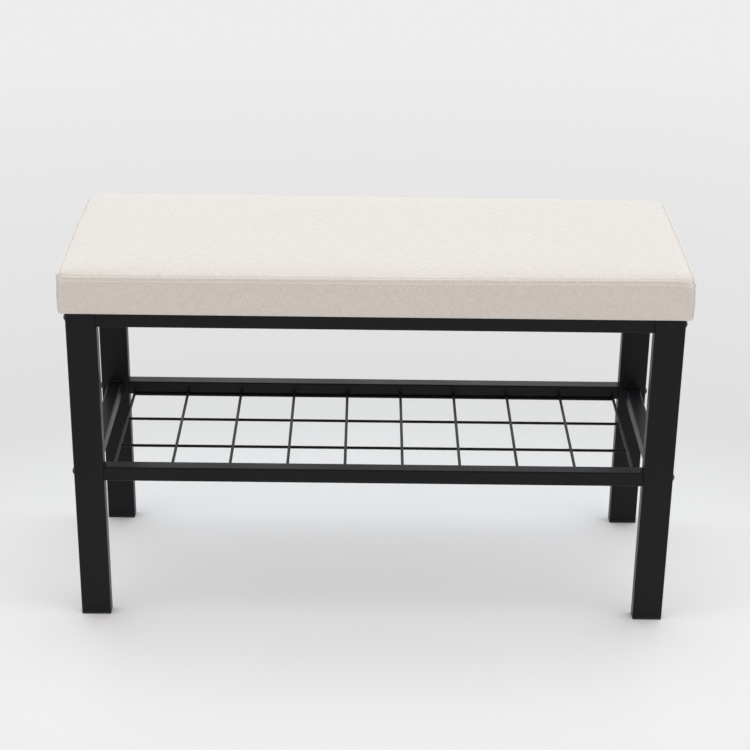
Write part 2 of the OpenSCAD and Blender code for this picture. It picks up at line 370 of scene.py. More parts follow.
def add_loft(vertices, faces, rings):
    """Adds a closed solid through equally long rings of points."""
    first, count = len(vertices), len(rings[0])
    for ring in rings:
        vertices.extend(ring)
    for r in range(len(rings) - 1):
        for k in range(count):
            a, b = first + r * count + k, first + r * count + (k + 1) % count
            faces.append((a, b, b + count, a + count))
    last = first + (len(rings) - 1) * count
    faces.append(tuple(range(first + count - 1, first - 1, -1)))
    faces.append(tuple(range(last, last + count)))


# ---- Seat cushion ----

DRAWN_IN = 2.3 * MM                      # the cover starts smaller than its space, as it bows and swells
HALF_X, HALF_Y = SEAT_A - DRAWN_IN, SEAT_B - DRAWN_IN
BOW = 1.4 * MM                           # how far the sides bow out between the corners at the seam
FLARE = 0.6 * MM                         # how much wider the cushion is at its seam than at its foot
SEAM_Z = SEAT_Z + 58.0 * MM              # mean height of the top seam
SEAM_RISE = 1.6 * MM                     # the seam stands this much higher along the back
SEAM_TWIST = 1.0 * MM                    # the seam is this much higher at its front right and back left
FRONT_PULL = 3.6 * MM                    # the front seam is drawn down
FRONT_LIFT = 2.3 * MM                    # but less at its right end
FRONT_PULL_REACH = 28 * MM
FRONT_PULL_ENDS = 12                     # the higher, the closer to its ends that reach stays full
SHOULDER = 2.0 * MM                      # rise of the top panel beside its seam
SHOULDER_WIDTH = 9 * MM
CROWN = 1.5 * MM                         # gentle rise further in
CROWN_WIDTH = 60 * MM
CORNER_R = 6 * MM                        # vertical corners
HEM_R = 5 * MM                           # rounding at the lower edge
GRID_STEP = 5 * MM                       # cell size of the cover's mesh
FINE_LINES = [                           # its grid lines beside each edge, this far from the edge
    d * MM for d in (0, 0.3, 0.6, 0.95, 1.4, 2.0, 2.8, 3.8, 5, 6.6, 8.8, 12)
]
SEAM_INSET = 4.0 * MM                    # from the side's plane in to the bottom of the seam's groove
SEAM_DEPTH = 1.3 * MM                    # depth of that groove below the seam
GROOVE_WIDTH = 0.9 * MM
ROLL_R = 1.7 * MM                        # rolled edge just outside the groove
STITCH_DROP = 5.8 * MM                   # from the seam down to the topstitching
STITCH_DEPTH = 0.12 * MM
STITCH_WIDTH = 0.7 * MM
FLAP = 0.4 * MM                          # how far the seam allowance lifts the fabric at the stitching
FLAP_SLOPE = 0.24                        # the flap leans back towards the seam
FLAP_EDGE = 0.4 * MM                     # over how long a drop it ends below the stitching
SIDE_BULGE = 0.25 * MM                   # how far the sides swell between stitching and lower edge
CORNER_SEAM_DEPTH = 2.8 * MM             # vertical seam at each corner
CORNER_SEAM_WIDTH = 0.95 * MM
CORNER_LIP = 0.35 * MM                   # height of the raised lips on both sides of that seam
CORNER_LIP_PLACE = 1.9 * MM              # their distance from it
CORNER_LIP_WIDTH = 0.9 * MM
CORNERS = (                              # side in x and y, wide fall, and extra fall of the very corner
    (-1, -1, 0.0 * MM, 0.6 * MM),
    (1, -1, 3.0 * MM, 6.8 * MM),
    (1, 1, 4.6 * MM, 2.6 * MM),
    (-1, 1, 5.6 * MM, 2.6 * MM),
)
CORNER_REACH = 11 * MM                   # extent of the wide falls
TUCK = 2.0 * MM                          # how far the corners' upper ends are drawn in
TUCK_REACH = 7.5 * MM
TUCK_DEPTH = 34 * MM                     # how far down they are drawn in
PUCKER = 1.3 * MM                        # folds that fan out from the corners' upper ends
PUCKER_START = 1.5 * MM                  # how far from there they are full grown
PUCKER_REACH = 10 * MM
PUCKER_COUNT = 7                         # folds in a full turn about the corner's end
PUCKER_PHASE = 0.8
ROLL_CUT = 0.6                           # share of the corner seam's depth in the rolled edge
ROLL_CUT_FADE = 2 * MM                   # how far below the rolled edge the seam has its full depth
NOTCH = 1.5 * MM                         # how far the corner seam pulls the rolled edge down
NOTCH_WIDTH = 1.3 * MM
NOTCH_DROP = 4 * MM                      # how far down that reaches
PINCH = 2.6 * MM                         # how much deeper the top seam is sunk at the corners
PINCH_WIDTH = 1.6 * MM
PINCH_REACH = 6 * MM
TOP_EDGE = 3 * MM                        # the top panel's folds and unevenness begin over this width
SIDE_WAVES = ((0.35 * MM, 28, 4.0), (0.12 * MM, 110, 9.0))     # height, features per metre and seed
TOP_WAVES = ((0.45 * MM, 8, 21.0), (0.12 * MM, 30, 33.0))
SEAM_WAVES = ((0.30 * MM, 11, 50.0),)
SIM_STEP = 6 * MM                        # cell size of the simulated cloth
SIM_FRAMES = 20
SIM_CAP = 1.2 * MM                       # no point moves further than this in the simulation
SEAM_HOLD = 0.25                         # how firmly the simulated seam is held, from 0 to 1


def spaced(half, step, fine):
    """Positions from -half to half, about step apart, with the fine distances next to both ends."""
    inner = half - (fine[-1] if fine else 0)
    count = max(2, round(2 * inner / step))
    middle = np.linspace(-inner, inner, count + 1)
    edge = np.array([half - d for d in fine[:-1]]) if fine else np.array([])
    return np.concatenate([-edge, middle, edge[::-1]])


def square_to_round(x, y, half_x, half_y, radius):
    """Moves the points of a rectangle near its corners so that the corners become round."""
    inner_x, inner_y = half_x - radius, half_y - radius
    u = np.clip((np.abs(x) - inner_x) / radius, 0, 1)
    v = np.clip((np.abs(y) - inner_y) / radius, 0, 1)
    new_x = np.where(u > 0, inner_x + radius * u * np.sqrt(1 - v * v / 2), np.abs(x))
    new_y = np.where(v > 0, inner_y + radius * v * np.sqrt(1 - u * u / 2), np.abs(y))
    return np.sign(x) * new_x, np.sign(y) * new_y


def crown_height(x, y, half_x, half_y):
    """Rise of the top panel above its seam: a shoulder, then a gentle crown. Both are less at corners."""
    dx, dy = np.maximum(half_x - np.abs(x), 1e-9), np.maximum(half_y - np.abs(y), 1e-9)
    inward = dx * dy / np.hypot(dx, dy)
    gentle = 1 - (1 - np.clip(inward / CROWN_WIDTH, 0, 1)) ** 2
    return SHOULDER * (1 - np.exp(-inward / SHOULDER_WIDTH)) + CROWN * gentle


def border(nx, ny):
    """Grid indices round the edge of an nx by ny grid, counter-clockwise from its first corner."""
    ring = [(i, 0) for i in range(nx - 1)]
    ring += [(nx - 1, j) for j in range(ny - 1)]
    ring += [(i, ny - 1) for i in range(nx - 1, 0, -1)]
    ring += [(0, j) for j in range(ny - 1, 0, -1)]
    return ring


def ring_points(xs, ys, ring):
    """Points of the cushion's outline and its outward normals at the ring's places."""
    x = np.array([xs[i] for i, j in ring])
    y = np.array([ys[j] for i, j in ring])
    px, py = square_to_round(x, y, HALF_X, HALF_Y, CORNER_R)
    centre_x = np.clip(px, -(HALF_X - CORNER_R), HALF_X - CORNER_R)
    centre_y = np.clip(py, -(HALF_Y - CORNER_R), HALF_Y - CORNER_R)
    return np.stack([px, py], -1), unit(np.stack([px - centre_x, py - centre_y], -1))


def hem_arc(count):
    """Rows round the lower edge as (offset outwards, height)."""
    return [(HEM_R * (math.cos(turn) - 1), SEAT_Z + HEM_R * (1 - math.sin(turn)))
            for turn in np.linspace(0, math.pi / 2, count)[1:]]


def coarse_profile():
    """Rows down a plain side as (offset outwards, height), for the simulated cover."""
    return np.array([(0.0, z) for z in np.linspace(SEAM_Z, SEAT_Z + HEM_R, 9)] + hem_arc(4))


def fine_profile():
    """Rows down the side from the seam's groove: rolled edge, flap, stitched groove, swelling and hem."""
    centre = side_offset(ROLL_R) - ROLL_R
    roll = [(centre + ROLL_R * math.cos(turn), SEAM_Z - ROLL_R + ROLL_R * math.sin(turn))
            for turn in np.radians(np.linspace(160, 5, 9))]
    drops = np.concatenate([             # in millimetres, with the rows close together at the stitching
        np.linspace(2.2, 4.6, 4), np.linspace(4.9, 6.9, 8), np.linspace(7.6, 12, 5),
        np.linspace(14.5, (SEAM_Z - SEAT_Z - HEM_R) / MM, 14),
    ]) * MM
    return np.array(roll + [(side_offset(d), SEAM_Z - d) for d in drops] + hem_arc(8))


def side_offset(drop):
    """How far the side stands out at a distance below the seam: flap, stitched groove, then swelling."""
    flap = FLAP / (1 + math.exp((drop - STITCH_DROP - STITCH_WIDTH) / FLAP_EDGE))
    lean = FLAP_SLOPE * max(0.0, STITCH_DROP - drop)
    groove = -STITCH_DEPTH * math.exp(-((drop - STITCH_DROP) / STITCH_WIDTH) ** 2)
    span = min(1.0, max(0.0, (drop - STITCH_DROP) / (SEAM_Z - SEAT_Z - HEM_R - STITCH_DROP)))
    return flap - lean + groove + SIDE_BULGE * math.sin(math.pi * span) ** 0.7


def cushion_surface(xs, ys, profile, inset, groove):
    """Top grid, side rows and bottom grid of the cushion, each as an array of points."""
    half_x, half_y = HALF_X - inset, HALF_Y - inset
    gx, gy = np.meshgrid(xs * half_x / xs[-1], ys * half_y / ys[-1], indexing="ij")
    px, py = square_to_round(gx, gy, half_x, half_y, CORNER_R - inset)
    edge = np.minimum(half_x - np.abs(gx), half_y - np.abs(gy))
    sunk = groove * np.exp(-(edge / GROOVE_WIDTH) ** 2)
    top = np.stack([px, py, SEAM_Z + crown_height(gx, gy, half_x, half_y) - sunk], -1)
    ring = border(len(xs), len(ys))
    points, normals = ring_points(xs, ys, ring)
    side = np.empty((len(profile), len(ring), 3))
    for row, (offset, z) in enumerate(profile):
        side[row, :, :2] = points + offset * normals
        side[row, :, 2] = z
    low_x, low_y = HALF_X - HEM_R, HALF_Y - HEM_R
    bx, by = np.meshgrid(xs * low_x / xs[-1], ys * low_y / ys[-1], indexing="ij")
    qx, qy = square_to_round(bx, by, low_x, low_y, CORNER_R - HEM_R)
    bottom = np.stack([qx, qy, np.full_like(qx, SEAT_Z)], -1)
    return top, side, bottom


def closed_faces(nx, ny, rows, shared_top):
    """Quads of the closed cushion, whose points are the top grid, the side rows and the bottom's inside.
    With shared_top the first side row is the top grid's edge itself."""
    ring = border(nx, ny)
    count = len(ring)
    on_ring = {place: k for k, place in enumerate(ring)}
    first_side = nx * ny
    side_rows = rows - 1 if shared_top else rows
    first_bottom = first_side + side_rows * count
    last_row = first_bottom - count

    def top_index(i, j):
        return i * ny + j

    def bottom_index(i, j):
        if (i, j) in on_ring:
            return last_row + on_ring[(i, j)]
        return first_bottom + (i - 1) * (ny - 2) + (j - 1)

    faces = []
    for i in range(nx - 1):
        for j in range(ny - 1):
            faces.append((top_index(i, j), top_index(i + 1, j),
                          top_index(i + 1, j + 1), top_index(i, j + 1)))
            faces.append((bottom_index(i, j), bottom_index(i, j + 1),
                          bottom_index(i + 1, j + 1), bottom_index(i + 1, j)))
    bands = [[top_index(i, j) for i, j in ring]]
    bands += [[first_side + r * count + k for k in range(count)] for r in range(side_rows)]
    for upper, lower in zip(bands, bands[1:]):
        for k in range(count):
            nxt = (k + 1) % count
            faces.append((upper[k], lower[k], lower[nxt], upper[nxt]))
    return faces


def stack_points(top, side, bottom, shared_top):
    """The surfaces' points in the order that closed_faces expects."""
    rows = side[1:] if shared_top else side
    return np.concatenate([top.reshape(-1, 3), rows.reshape(-1, 3), bottom[1:-1, 1:-1].reshape(-1, 3)])


def hold_cover(cover, points):
    """Pins the cover's underside, and holds its seam a little. Returns the name of the vertex group."""
    pinned = [k for k, point in enumerate(points) if point[2] < SEAT_Z + 0.5 * HEM_R]
    seam = [k for k, point in enumerate(points) if abs(point[2] - SEAM_Z) < 1e-6]
    group = cover.vertex_groups.new(name="held")
    group.add(pinned, 1.0, "REPLACE")
    group.add(seam, SEAM_HOLD, "REPLACE")
    return group.name


def add_cloth(cover, held):
    """Gives the cover a stiff, slightly shrunk cloth under pressure, fixed at its held vertices."""
    cloth = cover.modifiers.new("cloth", "CLOTH")
    settings = cloth.settings
    settings.quality = 6
    settings.mass = 0.3
    settings.tension_stiffness = settings.compression_stiffness = 25
    settings.shear_stiffness = 12
    settings.bending_stiffness = 2.0
    settings.use_pressure = True
    settings.uniform_pressure_force = 4
    settings.effector_weights.gravity = 0
    settings.vertex_group_mass = held
    settings.pin_stiffness = 1.0
    settings.shrink_min = -0.012
    cloth.point_cache.frame_start = 1
    cloth.point_cache.frame_end = SIM_FRAMES


def simulate_cover(xs, ys, profile):
    """Inflates a coarse cover a little with the cloth solver. Returns how far its top and sides moved."""
    top, side, bottom = cushion_surface(xs, ys, profile, inset=0.0, groove=0.0)
    faces = closed_faces(len(xs), len(ys), len(side), shared_top=True)
    points = stack_points(top, side, bottom, shared_top=True)
    cover = mesh_object("cover_simulation", points, faces, FINISHES["seat_fabric"])
    add_cloth(cover, hold_cover(cover, points))
    scene = bpy.context.scene
    for number in range(1, SIM_FRAMES + 1):
        scene.frame_set(number)
    evaluated = cover.evaluated_get(bpy.context.evaluated_depsgraph_get())
    moved = np.array([v.co[:] for v in evaluated.data.vertices]) - points
    bpy.data.objects.remove(cover)
    scene.frame_set(1)
    length = np.linalg.norm(moved, axis=1, keepdims=True)
    moved = moved / (1 + length / SIM_CAP)
    nx, ny, ring = len(xs), len(ys), border(len(xs), len(ys))
    top_move = moved[:nx * ny].reshape(nx, ny, 3)
    first_row = np.array([top_move[i, j] for i, j in ring])[None]
    rest = moved[nx * ny:nx * ny + (len(side) - 1) * len(ring)].reshape(-1, len(ring), 3)
    return top_move, np.concatenate([first_row, rest])


def cubic(field, u, v, wrap_v=False):
    """Smooth (Catmull-Rom) samples of a grid of vectors at fractional indices u, v."""
    def weights(t):
        return np.stack([
            -0.5 * t + t * t - 0.5 * t ** 3, 1 - 2.5 * t * t + 1.5 * t ** 3,
            0.5 * t + 2 * t * t - 1.5 * t ** 3, -0.5 * t * t + 0.5 * t ** 3,
        ])

    n, m = field.shape[:2]
    iu = np.clip(np.floor(u).astype(int), 0, n - 2)
    iv = np.floor(v).astype(int) if wrap_v else np.clip(np.floor(v).astype(int), 0, m - 2)
    wu, wv = weights(u - iu), weights(v - iv)
    total = 0
    for a in range(4):
        for b in range(4):
            row = np.clip(iu + a - 1, 0, n - 1)
            col = (iv + b - 1) % m if wrap_v else np.clip(iv + b - 1, 0, m - 1)
            total = total + (wu[a] * wv[b])[..., None] * field[row, col]
    return total


def index_at(values, wanted):
    """Fractional index of each wanted value in a rising list."""
    return np.interp(wanted, values, np.arange(len(values)))


def ring_index(xs, ys, places):
    """Fractional position of (x, y) edge places along the border of the grid xs by ys."""
    nx, ny = len(xs), len(ys)
    result = []
    for x, y, edge in places:
        if edge == 0:
            result.append(index_at(xs, x))
        elif edge == 1:
            result.append(nx - 1 + index_at(ys, y))
        elif edge == 2:
            result.append(2 * (nx - 1) + ny - 1 - index_at(xs, x))
        else:
            result.append(2 * (nx - 1) + 2 * (ny - 1) - index_at(ys, y))
    return np.array(result)


def ring_edges(nx, ny):
    """Which edge of the grid each border place lies on, from 0, front, counter-clockwise to 3, left."""
    return [0] * (nx - 1) + [1] * (ny - 1) + [2] * (nx - 1) + [3] * (ny - 1)


def soft_noise(points, scale, seed):
    """Smooth noise from -1 to 1 at each point."""
    shift = Vector((seed, -2 * seed, 3 * seed))
    flat = [noise.noise(Vector(p) * scale + shift) for p in points.reshape(-1, 3)]
    return np.array(flat).reshape(points.shape[:-1])


def unevenness(points, waves):
    """Sum of smooth noises, each given by its height, its features per metre and its seed."""
    return sum(height * soft_noise(points, scale, seed) for height, scale, seed in waves)


def add_simulated_swell(xs, ys, top, side):
    """Adds the simulated cover's movement to the fine surfaces."""
    sim_x, sim_y = spaced(HALF_X, SIM_STEP, []), spaced(HALF_Y, SIM_STEP, [])
    coarse = coarse_profile()
    top_move, side_move = simulate_cover(sim_x, sim_y, coarse)
    gx, gy = np.meshgrid(index_at(sim_x, xs), index_at(sim_y, ys), indexing="ij")
    top += cubic(top_move, gx, gy)
    size = len(xs), len(ys)
    places = [(xs[i], ys[j], edge) for (i, j), edge in zip(border(*size), ring_edges(*size))]
    down = index_at(-coarse[:, 1], -side[:, 0, 2])
    gu, gv = np.meshgrid(down, ring_index(sim_x, sim_y, places), indexing="ij")
    side += cubic(side_move, gu, gv, wrap_v=True)


def corner_folds(gap, drop, amount):
    """Height of the folds that fan out from a corner's upper end, at a distance along and across."""
    reach = np.hypot(gap, drop)
    turn = np.arctan2(drop, gap)
    grown = 1 - np.exp(-(reach / PUCKER_START) ** 2)
    fading = np.exp(-reach / PUCKER_REACH)
    return amount * grown * fading * np.cos(PUCKER_COUNT * turn + PUCKER_PHASE)


def corner_places(xs, ys, along):
    """How far along the border its four corners lie."""
    return [along[k] for k, (i, j) in enumerate(border(len(xs), len(ys)))
            if i in (0, len(xs) - 1) and j in (0, len(ys) - 1)]


def gap_to(corners, along, length):
    """Distance along a closed line of this length to the nearest of its corners."""
    return np.min([np.abs((along - c + length / 2) % length - length / 2) for c in corners], axis=0)


def detail_side(xs, ys, side):
    """Vertical corner seams, folds at the corners and the slight waviness of a sewn cover."""
    ring = border(len(xs), len(ys))
    outline, normals = ring_points(xs, ys, ring)
    steps = np.linalg.norm(outline - np.roll(outline, 1, axis=0), axis=1)
    along = np.cumsum(steps)
    gap = gap_to(corner_places(xs, ys, along), along, along[-1])
    drop = np.maximum(SEAM_Z - side[:, :1, 2], 0)
    held = np.clip((side[:, :1, 2] - SEAT_Z) / HEM_R, 0, 1)
    seam = -CORNER_SEAM_DEPTH * np.exp(-(gap / CORNER_SEAM_WIDTH) ** 2)
    seam = seam + CORNER_LIP * np.exp(-((gap - CORNER_LIP_PLACE) / CORNER_LIP_WIDTH) ** 2)
    cut = np.clip((drop - ROLL_R) / ROLL_CUT_FADE, ROLL_CUT, 1)
    notch = NOTCH * np.exp(-(gap / NOTCH_WIDTH) ** 2) * (1 - np.clip(drop / NOTCH_DROP, 0, 1))
    folds = corner_folds(gap[None], drop, PUCKER) * np.clip(drop / PUCKER_START, 0, 1)
    proud = held * (seam * cut + unevenness(side, SIDE_WAVES) + folds)
    side[:, :, :2] += proud[..., None] * normals
    side[:, :, 2] -= notch


def detail_top(xs, ys, top):
    """Folds at the corners of the top panel and the slight unevenness of its padding."""
    gx, gy = np.meshgrid(xs, ys, indexing="ij")
    dx, dy = HALF_X - np.abs(gx), HALF_Y - np.abs(gy)
    edge = np.minimum(dx, dy)
    inward = np.clip(edge / TOP_EDGE, 0, 1)
    pinch = np.exp(-(edge / PINCH_WIDTH) ** 2 - (np.hypot(dx, dy) / PINCH_REACH) ** 1.5)
    folds = corner_folds(dx, dy, 0.5 * PUCKER)
    top[:, :, 2] += inward * (unevenness(top, TOP_WAVES) + folds) - PINCH * pinch


def shape_by_hand(points):
    """The flare and bow of the sides, the seam's uneven height and the drawn-in corners."""
    u = np.clip(points[..., 0] / HALF_X, -1, 1)
    v = np.clip(points[..., 1] / HALF_Y, -1, 1)
    height = np.clip((points[..., 2] - SEAT_Z) / (SEAM_Z - SEAT_Z), 0, 1)
    upper = np.clip(1 - (SEAM_Z - points[..., 2]) / TUCK_DEPTH, 0, 1)
    points[..., 0] += np.sign(u) * u * u * height * (FLARE + BOW * (1 - v * v))
    points[..., 1] += np.sign(v) * v * v * height * (FLARE + BOW * (1 - u * u))
    wobble = unevenness(points * (1, 1, 0), SEAM_WAVES)
    reach = FRONT_PULL_REACH * (1.05 - u ** FRONT_PULL_ENDS)
    pull = (FRONT_PULL - FRONT_LIFT * np.maximum(u, 0)) * np.exp(-(1 + v) * HALF_Y / reach)
    points[..., 2] += height * (wobble + SEAM_RISE * v - SEAM_TWIST * u * v - pull)
    for side_x, side_y, wide_fall, corner_fall in CORNERS:
        away = np.hypot((1 - side_x * u) * HALF_X, (1 - side_y * v) * HALF_Y)
        near = np.exp(-(away / TUCK_REACH) ** 1.5)
        points[..., 0] -= side_x * TUCK * upper * near
        points[..., 1] -= side_y * TUCK * upper * near
        points[..., 2] -= height * wide_fall * np.exp(-(away / CORNER_REACH) ** 1.5)
        points[..., 2] -= upper ** 3 * corner_fall * near


def build_cushion():
    """The seat cushion: simulated shape, seams, stitched flap, folds. Returns its grid lines and side."""
    xs, ys = spaced(HALF_X, GRID_STEP, FINE_LINES), spaced(HALF_Y, GRID_STEP, FINE_LINES)
    top, side, bottom = cushion_surface(xs, ys, fine_profile(), SEAM_INSET, SEAM_DEPTH)
    add_simulated_swell(xs, ys, top, side)
    detail_side(xs, ys, side)
    detail_top(xs, ys, top)
    shape_by_hand(top)
    shape_by_hand(side)
    faces = closed_faces(len(xs), len(ys), len(side), shared_top=False)
    points = stack_points(top, side, bottom, shared_top=False)
    weave = cloth_coordinates(xs, ys, side)
    cushion = mesh_object("seat_cushion", points, faces, FINISHES["seat_fabric"], weave)
    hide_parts("seat_cover", "seat_foam")
    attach(cushion, "root")
    return xs, ys, side


LOW_LAYER = 7.0                          # third weave coordinate of the underside; the sides' are 1 to 4


def cloth_coordinates(xs, ys, side):
    """Unrolled position of every cushion vertex: flat on top, and carried on down the sides."""
    nx, ny = len(xs), len(ys)
    gx, gy = np.meshgrid(xs, ys, indexing="ij")
    top = np.stack([gx, gy, np.zeros_like(gx)], -1).reshape(-1, 3)
    steps = np.linalg.norm(np.diff(side[:, 0], axis=0), axis=1)
    down = np.concatenate([[0], np.cumsum(steps)])
    outward = ((0, -1), (1, 0), (0, 1), (-1, 0))
    edge_places = [(xs[i], ys[j], outward[edge], 1.0 + edge)
                   for (i, j), edge in zip(border(nx, ny), ring_edges(nx, ny))]
    sides = [(x + d * out[0], y + d * out[1], layer) for d in down for x, y, out, layer in edge_places]
    low = np.stack([gx, gy, np.full_like(gx, LOW_LAYER)], -1)[1:-1, 1:-1].reshape(-1, 3)
    return np.concatenate([top, np.array(sides), low])


# ---- Topstitching ----

STITCH_PITCH = 3.7 * MM
STITCH_LENGTH = 2.7 * MM
STITCH_END = 7.4 * MM                    # the stitching stops this far from the corner seams
STITCH_AIM = 0.8 * MM                    # a stitch's direction is taken this far before and after it
THREAD_R = 0.6 * MM
THREAD_SIDES = 6
STITCH_SHAPE = (                         # place from -1 to 1, and share of the thread's radius there
    (-1.0, 0.15), (-0.9, 0.7), (-0.55, 1.0), (0.0, 1.0), (0.55, 1.0), (0.9, 0.7), (1.0, 0.15),
)
STITCH_LIFT = 0.35                       # in thread radii, how high a stitch's middle lies on the cloth
STITCH_DIP = 0.9                         # and how much lower its ends are


def stitch_rings(centre, along, out):
    """Rings of one closed stitch, centred on a place of the cloth. It dives in at both its ends."""
    across = np.cross(along, out)
    turns = [2 * math.pi * k / THREAD_SIDES for k in range(THREAD_SIDES)]
    spokes = [math.cos(turn) * out + math.sin(turn) * across for turn in turns]
    rings = []
    for place, share in STITCH_SHAPE:
        lift = THREAD_R * (STITCH_LIFT - STITCH_DIP * abs(place) ** 3)
        middle = centre + along * place * STITCH_LENGTH / 2 + out * lift
        rings.append([middle + share * THREAD_R * spoke for spoke in spokes])
    return rings


def build_topstitching(xs, ys, side):
    """The row of stitches that holds the seam allowance down, all along the sides but at the corners."""
    profile = fine_profile()
    row = int(np.argmin(np.abs(profile[:, 1] - (SEAM_Z - STITCH_DROP))))
    line, above, below = side[row], side[row - 2], side[row + 2]
    steps = np.linalg.norm(np.roll(line, -1, axis=0) - line, axis=1)
    along = np.concatenate([[0], np.cumsum(steps)])
    count = round(along[-1] / STITCH_PITCH)
    places = (np.arange(count) + 0.5) * along[-1] / count
    places = places[gap_to(corner_places(xs, ys, along), places, along[-1]) > STITCH_END]

    def at(rows, place):
        closed = np.concatenate([rows, rows[:1]])
        return np.array([np.interp(place % along[-1], along, closed[:, axis]) for axis in range(3)])

    vertices, faces = [], []
    for place in places:
        ahead = unit(at(line, place + STITCH_AIM) - at(line, place - STITCH_AIM))
        out = unit(np.cross(ahead, at(above, place) - at(below, place)))
        add_loft(vertices, faces, stitch_rings(at(line, place), ahead, out))
    stitches = mesh_object("seat_topstitching", vertices, faces, THREAD)
    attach(stitches, "root")


# ---- Dust cover under the seat ----

COVER_CELL = 5 * MM
HEM_FOLD = 9 * MM                        # folded-in edge, twice as thick
HEM_STEP = 0.3 * MM                      # half width of the step where the fold ends
CLOTH_THICK = 0.25 * MM
COVER_SAG = 1.0 * MM
COVER_SAG_REACH = 40 * MM                # the sag is full this far inside the folded edge
STAPLE_PITCH = 130 * MM
RIPPLE = 0.35 * MM                       # half height of the puckers between the staples
RIPPLE_REACH = 25 * MM
RIPPLE_START = 6 * MM                    # the sheet's very edge stays flat
GRAIN = 0.1 * MM                         # height of its small unevenness
GRAIN_SCALE = 60                         # features of that per metre
GRAIN_SEED = 3.0


def dust_cover_underside(x, y, half_x, half_y):
    """How far the sheet's lower face lies below the seat: folded edge, stapled puckers, slight sag."""
    edge = np.minimum(half_x - np.abs(x), half_y - np.abs(y))
    hem = np.where(edge < HEM_FOLD, 2 * CLOTH_THICK, CLOTH_THICK)
    inner = np.clip((edge - HEM_FOLD) / COVER_SAG_REACH, 0, 1)
    ripple = RIPPLE * np.exp(-edge / RIPPLE_REACH) * (1 - np.cos(2 * math.pi * (x + y) / STAPLE_PITCH))
    return hem + COVER_SAG * inner * (2 - inner) + ripple * np.clip(edge / RIPPLE_START, 0, 1)


def build_dust_cover():
    """Black nonwoven sheet stapled to the underside of the seat board."""
    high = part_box("dust_cover")[1]
    half_x, half_y = high.x, high.y
    lines = [0, HEM_FOLD - HEM_STEP, HEM_FOLD + HEM_STEP, HEM_FOLD + COVER_CELL]
    xs, ys = spaced(half_x, COVER_CELL, lines), spaced(half_y, COVER_CELL, lines)
    nx, ny = len(xs), len(ys)
    gx, gy = np.meshgrid(xs, ys, indexing="ij")
    depth = dust_cover_underside(gx, gy, half_x, half_y)
    grain = soft_noise(np.stack([gx, gy, depth], -1), GRAIN_SCALE, GRAIN_SEED)
    lower = np.stack([gx, gy, high.z - depth - GRAIN * (1 + grain)], -1)
    upper = lower + (0, 0, CLOTH_THICK)
    vertices = np.concatenate([upper.reshape(-1, 3), lower.reshape(-1, 3)])
    faces = []
    for i in range(nx - 1):
        for j in range(ny - 1):
            a = i * ny + j
            quad = (a, a + ny, a + ny + 1, a + 1)
            faces.append(quad)
            faces.append(tuple(nx * ny + k for k in reversed(quad)))
    ring = [i * ny + j for i, j in border(nx, ny)]
    for a, b in zip(ring, ring[1:] + ring[:1]):
        faces.append((a, a + nx * ny, b + nx * ny, b))
    sheet = mesh_object("seat_dust_cover", vertices, faces, FINISHES["dust_cover"])
    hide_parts("dust_cover")
    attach(sheet, "root")


# ---- Welds of the side frames and of the shelf wires ----

WELD_R = 2.9 * MM                        # leg of the fillet beads
WELD_SUNK = 0.3 * MM                     # how far the beads reach into the metal
WELD_INSET = 1.5 * MM                    # the beads stop this far from a bar's edges
WELD_END = 0.45                          # share of its size that a bead has at its very ends
WELD_TAPER = 1.5 * MM                    # length over which a bead would grow from nothing to full size
WELD_STEP = 0.35 * MM                    # distance between a bead's rings
WELD_RIPPLE = 1.8 * MM                   # distance between a bead's scallops
WELD_CURL = 0.9 * MM                     # how far a scallop's ends lag behind its middle
WELD_FACE = 0.86                         # size of a bead's face as a share of its leg
WELD_SCALLOP = 0.05                      # what the scallops add to that
WELD_BELLY = 0.05                        # and what the bead's middle adds
WIRE_WELD = (                            # distance out of the metal, and how much wider than the wire
    (-WELD_SUNK, 1.30 * MM),
    (0.0 * MM, 1.35 * MM),
    (0.5 * MM, 1.00 * MM),
    (1.0 * MM, 0.45 * MM),
    (1.6 * MM, 0.05 * MM),
)


def fillet_bead(start, end, wall, rise):
    """Rings of a rippled bead from start to end in the corner between the directions wall and rise."""
    length = float(np.linalg.norm(end - start))
    rings = []
    for place in np.linspace(0, length, round(length / WELD_STEP) + 1):
        ends = min(1.0, WELD_END + min(place, length - place) / WELD_TAPER)
        middle = start + (end - start) * place / length
        ring = [middle - WELD_SUNK * (wall + rise)]
        for turn in np.radians(np.linspace(0, 90, 7)):
            lag = WELD_CURL * (4 * turn / math.pi - 1) ** 2
            scallop = abs(math.sin(math.pi * (place + lag) / WELD_RIPPLE))
            share = WELD_FACE + WELD_SCALLOP * scallop + WELD_BELLY * math.sin(2 * turn)
            outwards = math.cos(turn) * wall + math.sin(turn) * rise
            ring.append(middle + WELD_R * ends * share * outwards)
        ring[1] = ring[1] - WELD_SUNK * rise
        ring[-1] = ring[-1] - WELD_SUNK * wall
        rings.append(ring)
    return rings


def wire_bead(place, along, radius, seed):
    """Rings of the uneven bead round a wire's end; along points away from the metal it is welded to."""
    side = np.array([0.0, 0.0, 1.0])
    across = np.cross(along, side)
    rings = []
    for reach, wider in WIRE_WELD:
        ring = []
        for turn in np.linspace(0, 2 * math.pi, 13)[:-1]:
            uneven = 1 + 0.25 * math.sin(2 * turn + seed) + 0.12 * math.sin(5 * turn + 3 * seed)
            size = radius + wider * uneven
            outwards = math.cos(turn) * side + math.sin(turn) * across
            ring.append(place + along * reach + size * outwards)
        rings.append(ring)
    return rings


